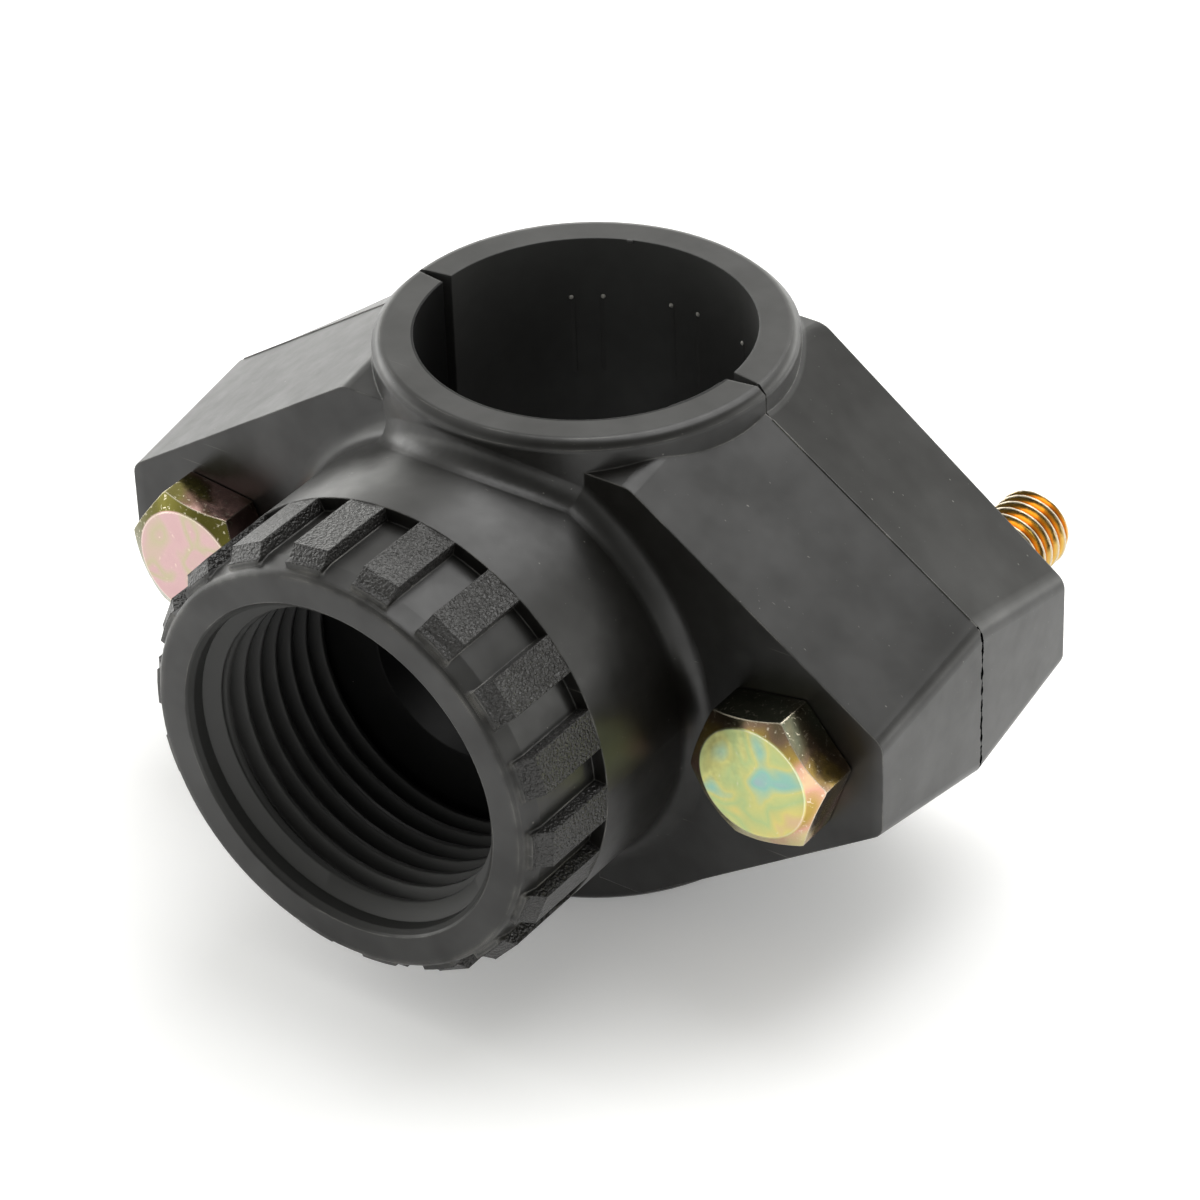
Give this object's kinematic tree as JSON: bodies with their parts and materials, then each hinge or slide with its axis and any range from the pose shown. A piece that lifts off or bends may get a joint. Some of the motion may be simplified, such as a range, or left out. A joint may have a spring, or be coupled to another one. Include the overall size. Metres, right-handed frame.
{
  "type": "pipe tapping saddle",
  "caption": "Clamp saddle in moulded plastic that bolts round a pipe, with a ribbed, internally threaded side outlet and a rubber seal round its tapping port.",
  "frame": {"origin": "where the axis of the pipe and the axis of the outlet cross", "axes": "+Z along the pipe, the outlet points to -Y, +X towards the right bolt as seen from the outlet"},
  "size_m": [0.0866, 0.0691, 0.0522],
  "materials": {
    "moulded_plastic": "black injection-moulded polypropylene, semi-gloss, rough on the ribs",
    "seal_rubber": "plain black rubber",
    "zinc_plated_bolt": "steel, zinc plated and yellow passivated, iridescent",
    "zinc_plated_nut": "steel, zinc plated and yellow passivated"
  },
  "bodies": {
    "front_half": {"upper_half": "moulded_plastic", "seal_ring": "seal_rubber"},
    "left_bolt": {"left_bolt": "zinc_plated_bolt"},
    "right_bolt": {"right_bolt": "zinc_plated_bolt"},
    "back_half": {"lower_half": "moulded_plastic", "left_nut": "zinc_plated_nut", "right_nut": "zinc_plated_nut"}
  },
  "joints": [
    {"name": "left_bolt_turn", "type": "hinge", "parent": "front_half", "child": "left_bolt", "pos_m": [-0.0325, -0.0165, 0], "axis": [0, -1, 0], "range_deg": [0, 3600]},
    {"name": "right_bolt_turn", "type": "hinge", "parent": "front_half", "child": "right_bolt", "pos_m": [0.0325, -0.0165, 0], "axis": [0, -1, 0], "range_deg": [0, 3600]},
    {"name": "clamp_open", "type": "slide", "parent": "front_half", "child": "back_half", "axis": [0, 1, 0], "range_m": [0, 0.0125]}
  ],
  "couplings": [
    {"joint": "right_bolt_turn", "follows": "left_bolt_turn", "ratio": 1},
    {"joint": "clamp_open", "follows": "left_bolt_turn", "m_per_rad": 0.00019894}
  ]
}
